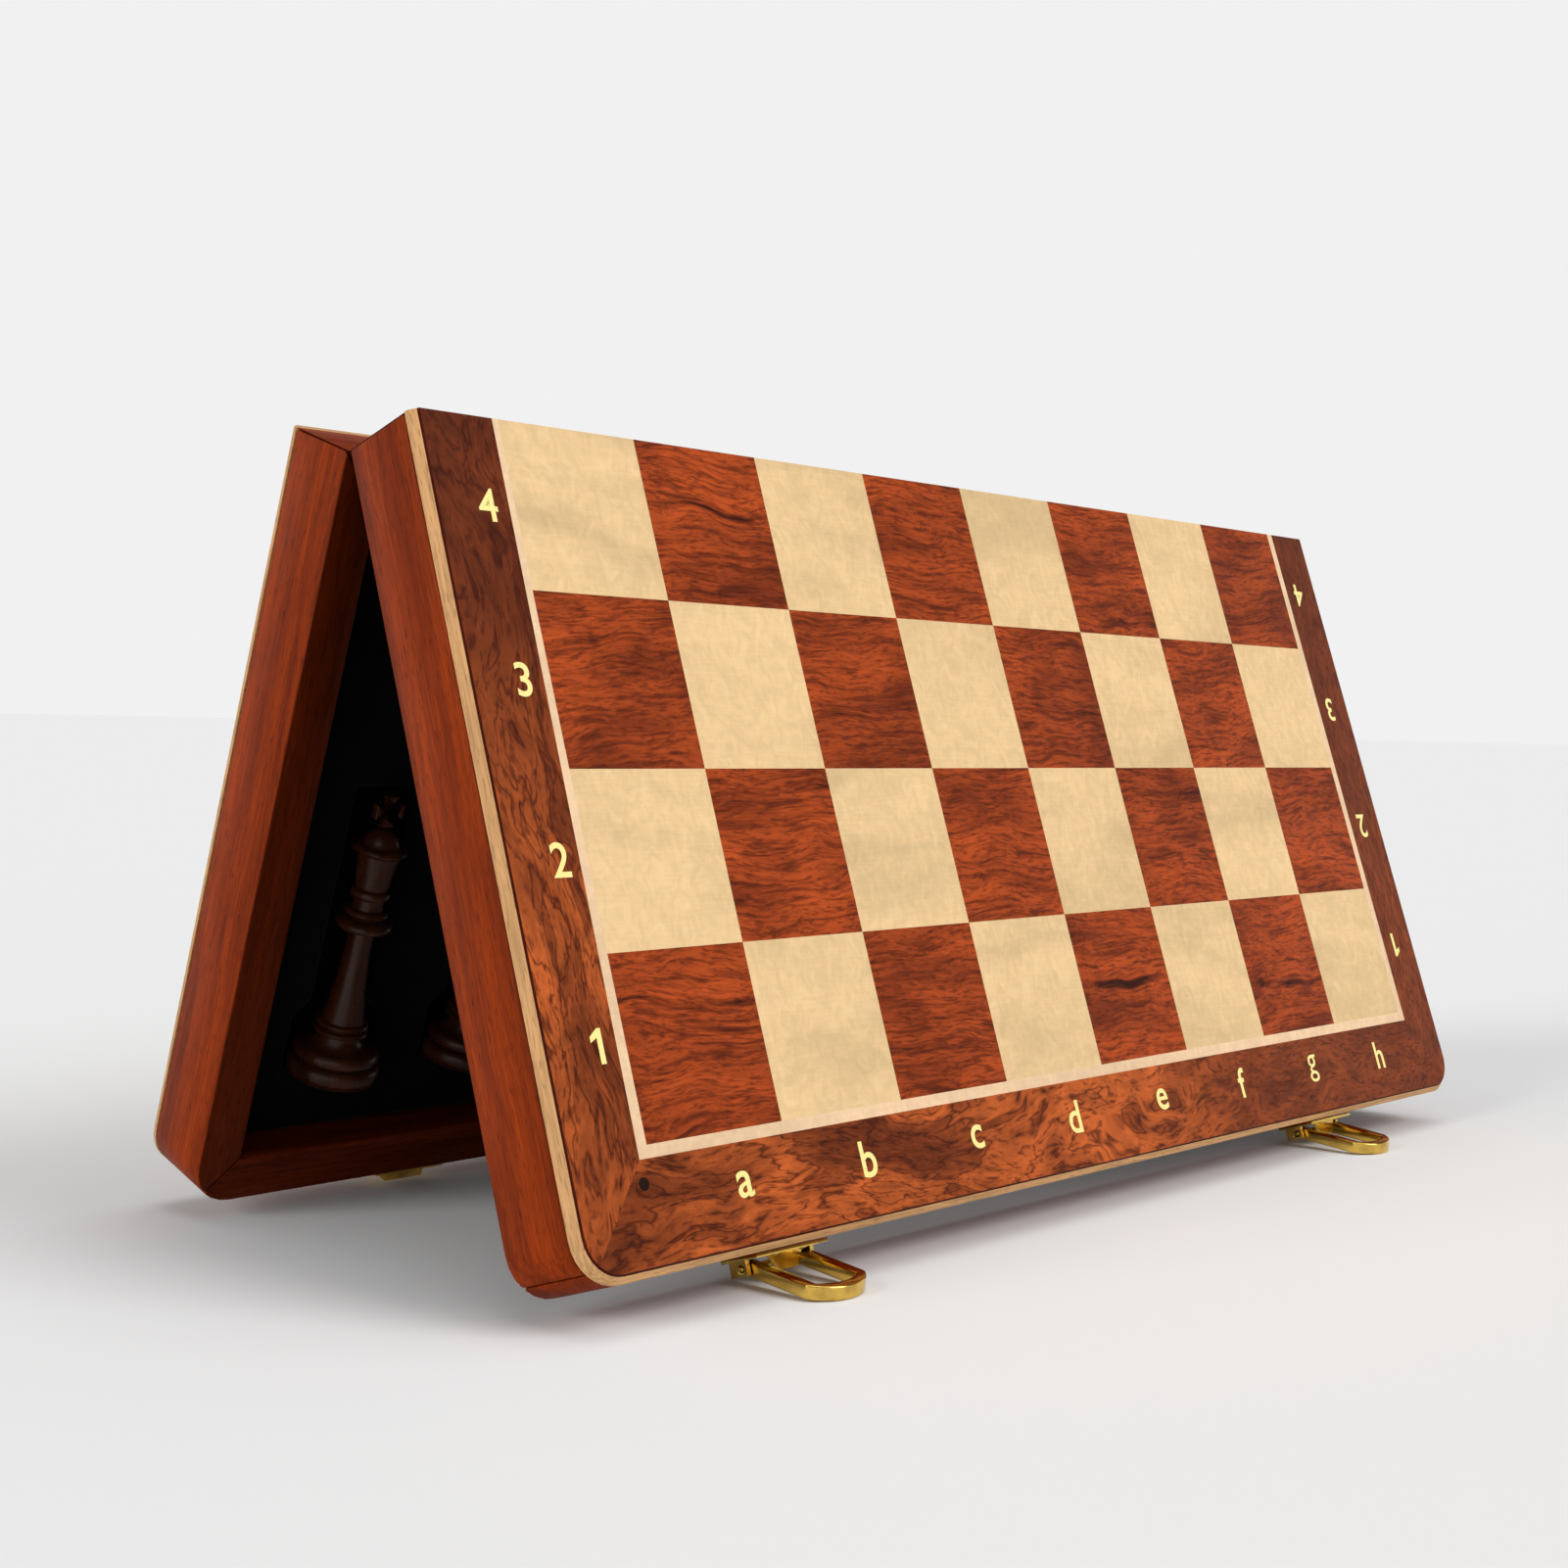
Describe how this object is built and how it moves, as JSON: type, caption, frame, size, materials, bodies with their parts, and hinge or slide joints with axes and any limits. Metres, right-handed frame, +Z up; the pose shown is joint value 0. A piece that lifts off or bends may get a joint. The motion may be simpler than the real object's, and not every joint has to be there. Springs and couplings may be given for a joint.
{
  "type": "chess set with board",
  "caption": "Folding wooden chess box standing open as a tent: veneered board halves with coordinates outside, flocked inserts with turned chessmen inside, brass hinges and loop latches.",
  "frame": {"origin": "on the ground, at the middle of the set's bounding box", "axes": "+X along the hinge from the a file to the h file, -Y the way the front tray's board half faces, +Z up"},
  "size_m": [0.3884, 0.1836, 0.1972],
  "materials": {
    "rails": "satin mahogany stain and lacquer",
    "board_veneer": "lacquered veneers of maple, mahogany and rosewood",
    "insert_flock": "matt black flock on a formed insert",
    "brass_hardware": "polished brass plate",
    "light_chessmen": "lacquered natural wood",
    "dark_chessmen": "dark brown stained and lacquered wood"
  },
  "bodies": {
    "front_tray": {"front_hinge_rail": "rails", "front_latch_rail": "rails", "front_left_rail": "rails", "front_right_rail": "rails", "front_board_panel": "board_veneer", "front_insert": "insert_flock", "hinge_left_front_leaf": "brass_hardware", "hinge_left_pin": "brass_hardware", "hinge_right_front_leaf": "brass_hardware", "hinge_right_pin": "brass_hardware", "latch_left_plate": "brass_hardware", "latch_left_pin": "brass_hardware", "latch_right_plate": "brass_hardware", "latch_right_pin": "brass_hardware"},
    "back_tray": {"back_hinge_rail": "rails", "back_latch_rail": "rails", "back_left_rail": "rails", "back_right_rail": "rails", "back_board_panel": "board_veneer", "back_insert": "insert_flock", "hinge_left_back_leaf": "brass_hardware", "hinge_right_back_leaf": "brass_hardware", "latch_left_catch": "brass_hardware", "latch_right_catch": "brass_hardware"},
    "left_loop": {"latch_left_loop": "brass_hardware"},
    "right_loop": {"latch_right_loop": "brass_hardware"},
    "light_king": {"light_king": "light_chessmen"},
    "light_queen": {"light_queen": "light_chessmen"},
    "light_bishop_1": {"light_bishop_1": "light_chessmen"},
    "light_bishop_2": {"light_bishop_2": "light_chessmen"},
    "light_knight_1": {"light_knight_1": "light_chessmen"},
    "light_knight_2": {"light_knight_2": "light_chessmen"},
    "light_rook_1": {"light_rook_1": "light_chessmen"},
    "light_rook_2": {"light_rook_2": "light_chessmen"},
    "light_pawn_1": {"light_pawn_1": "light_chessmen"},
    "light_pawn_2": {"light_pawn_2": "light_chessmen"},
    "light_pawn_3": {"light_pawn_3": "light_chessmen"},
    "light_pawn_4": {"light_pawn_4": "light_chessmen"},
    "light_pawn_5": {"light_pawn_5": "light_chessmen"},
    "light_pawn_6": {"light_pawn_6": "light_chessmen"},
    "light_pawn_7": {"light_pawn_7": "light_chessmen"},
    "light_pawn_8": {"light_pawn_8": "light_chessmen"},
    "dark_king": {"dark_king": "dark_chessmen"},
    "dark_queen": {"dark_queen": "dark_chessmen"},
    "dark_bishop_1": {"dark_bishop_1": "dark_chessmen"},
    "dark_bishop_2": {"dark_bishop_2": "dark_chessmen"},
    "dark_knight_1": {"dark_knight_1": "dark_chessmen"},
    "dark_knight_2": {"dark_knight_2": "dark_chessmen"},
    "dark_rook_1": {"dark_rook_1": "dark_chessmen"},
    "dark_rook_2": {"dark_rook_2": "dark_chessmen"},
    "dark_pawn_1": {"dark_pawn_1": "dark_chessmen"},
    "dark_pawn_2": {"dark_pawn_2": "dark_chessmen"},
    "dark_pawn_3": {"dark_pawn_3": "dark_chessmen"},
    "dark_pawn_4": {"dark_pawn_4": "dark_chessmen"},
    "dark_pawn_5": {"dark_pawn_5": "dark_chessmen"},
    "dark_pawn_6": {"dark_pawn_6": "dark_chessmen"},
    "dark_pawn_7": {"dark_pawn_7": "dark_chessmen"},
    "dark_pawn_8": {"dark_pawn_8": "dark_chessmen"}
  },
  "joints": [
    {"name": "board_fold", "type": "hinge", "parent": "front_tray", "child": "back_tray", "pos_m": [0, 0.00597, 0.18978], "axis": [1, 0, 0], "range_deg": [-37.4, 142.6]},
    {"name": "left_loop_swing", "type": "hinge", "parent": "front_tray", "child": "left_loop", "pos_m": [-0.1245, -0.06794, 0.00418], "axis": [1, 0, 0], "range_deg": [-22, 155]},
    {"name": "right_loop_swing", "type": "hinge", "parent": "front_tray", "child": "right_loop", "pos_m": [0.1245, -0.06794, 0.00418], "axis": [1, 0, 0], "range_deg": [-22, 155]},
    {"name": "light_king_lift", "type": "slide", "parent": "front_tray", "child": "light_king", "axis": [0, 0.9472, -0.3206], "range_m": [0, 0.03]},
    {"name": "light_queen_lift", "type": "slide", "parent": "front_tray", "child": "light_queen", "axis": [0, 0.9472, -0.3206], "range_m": [0, 0.03]},
    {"name": "light_bishop_1_lift", "type": "slide", "parent": "front_tray", "child": "light_bishop_1", "axis": [0, 0.9472, -0.3206], "range_m": [0, 0.03]},
    {"name": "light_bishop_2_lift", "type": "slide", "parent": "front_tray", "child": "light_bishop_2", "axis": [0, 0.9472, -0.3206], "range_m": [0, 0.03]},
    {"name": "light_knight_1_lift", "type": "slide", "parent": "front_tray", "child": "light_knight_1", "axis": [0, 0.9472, -0.3206], "range_m": [0, 0.03]},
    {"name": "light_knight_2_lift", "type": "slide", "parent": "front_tray", "child": "light_knight_2", "axis": [0, 0.9472, -0.3206], "range_m": [0, 0.03]},
    {"name": "light_rook_1_lift", "type": "slide", "parent": "front_tray", "child": "light_rook_1", "axis": [0, 0.9472, -0.3206], "range_m": [0, 0.03]},
    {"name": "light_rook_2_lift", "type": "slide", "parent": "front_tray", "child": "light_rook_2", "axis": [0, 0.9472, -0.3206], "range_m": [0, 0.03]},
    {"name": "light_pawn_1_lift", "type": "slide", "parent": "front_tray", "child": "light_pawn_1", "axis": [0, 0.9472, -0.3206], "range_m": [0, 0.02]},
    {"name": "light_pawn_2_lift", "type": "slide", "parent": "front_tray", "child": "light_pawn_2", "axis": [0, 0.9472, -0.3206], "range_m": [0, 0.02]},
    {"name": "light_pawn_3_lift", "type": "slide", "parent": "front_tray", "child": "light_pawn_3", "axis": [0, 0.9472, -0.3206], "range_m": [0, 0.02]},
    {"name": "light_pawn_4_lift", "type": "slide", "parent": "front_tray", "child": "light_pawn_4", "axis": [0, 0.9472, -0.3206], "range_m": [0, 0.02]},
    {"name": "light_pawn_5_lift", "type": "slide", "parent": "front_tray", "child": "light_pawn_5", "axis": [0, 0.9472, -0.3206], "range_m": [0, 0.02]},
    {"name": "light_pawn_6_lift", "type": "slide", "parent": "front_tray", "child": "light_pawn_6", "axis": [0, 0.9472, -0.3206], "range_m": [0, 0.02]},
    {"name": "light_pawn_7_lift", "type": "slide", "parent": "front_tray", "child": "light_pawn_7", "axis": [0, 0.9472, -0.3206], "range_m": [0, 0.02]},
    {"name": "light_pawn_8_lift", "type": "slide", "parent": "front_tray", "child": "light_pawn_8", "axis": [0, 0.9472, -0.3206], "range_m": [0, 0.02]},
    {"name": "dark_king_lift", "type": "slide", "parent": "back_tray", "child": "dark_king", "axis": [0, -0.9472, -0.3206], "range_m": [0, 0.03]},
    {"name": "dark_queen_lift", "type": "slide", "parent": "back_tray", "child": "dark_queen", "axis": [0, -0.9472, -0.3206], "range_m": [0, 0.03]},
    {"name": "dark_bishop_1_lift", "type": "slide", "parent": "back_tray", "child": "dark_bishop_1", "axis": [0, -0.9472, -0.3206], "range_m": [0, 0.03]},
    {"name": "dark_bishop_2_lift", "type": "slide", "parent": "back_tray", "child": "dark_bishop_2", "axis": [0, -0.9472, -0.3206], "range_m": [0, 0.03]},
    {"name": "dark_knight_1_lift", "type": "slide", "parent": "back_tray", "child": "dark_knight_1", "axis": [0, -0.9472, -0.3206], "range_m": [0, 0.03]},
    {"name": "dark_knight_2_lift", "type": "slide", "parent": "back_tray", "child": "dark_knight_2", "axis": [0, -0.9472, -0.3206], "range_m": [0, 0.03]},
    {"name": "dark_rook_1_lift", "type": "slide", "parent": "back_tray", "child": "dark_rook_1", "axis": [0, -0.9472, -0.3206], "range_m": [0, 0.03]},
    {"name": "dark_rook_2_lift", "type": "slide", "parent": "back_tray", "child": "dark_rook_2", "axis": [0, -0.9472, -0.3206], "range_m": [0, 0.03]},
    {"name": "dark_pawn_1_lift", "type": "slide", "parent": "back_tray", "child": "dark_pawn_1", "axis": [0, -0.9472, -0.3206], "range_m": [0, 0.02]},
    {"name": "dark_pawn_2_lift", "type": "slide", "parent": "back_tray", "child": "dark_pawn_2", "axis": [0, -0.9472, -0.3206], "range_m": [0, 0.02]},
    {"name": "dark_pawn_3_lift", "type": "slide", "parent": "back_tray", "child": "dark_pawn_3", "axis": [0, -0.9472, -0.3206], "range_m": [0, 0.02]},
    {"name": "dark_pawn_4_lift", "type": "slide", "parent": "back_tray", "child": "dark_pawn_4", "axis": [0, -0.9472, -0.3206], "range_m": [0, 0.02]},
    {"name": "dark_pawn_5_lift", "type": "slide", "parent": "back_tray", "child": "dark_pawn_5", "axis": [0, -0.9472, -0.3206], "range_m": [0, 0.02]},
    {"name": "dark_pawn_6_lift", "type": "slide", "parent": "back_tray", "child": "dark_pawn_6", "axis": [0, -0.9472, -0.3206], "range_m": [0, 0.02]},
    {"name": "dark_pawn_7_lift", "type": "slide", "parent": "back_tray", "child": "dark_pawn_7", "axis": [0, -0.9472, -0.3206], "range_m": [0, 0.02]},
    {"name": "dark_pawn_8_lift", "type": "slide", "parent": "back_tray", "child": "dark_pawn_8", "axis": [0, -0.9472, -0.3206], "range_m": [0, 0.02]}
  ]
}
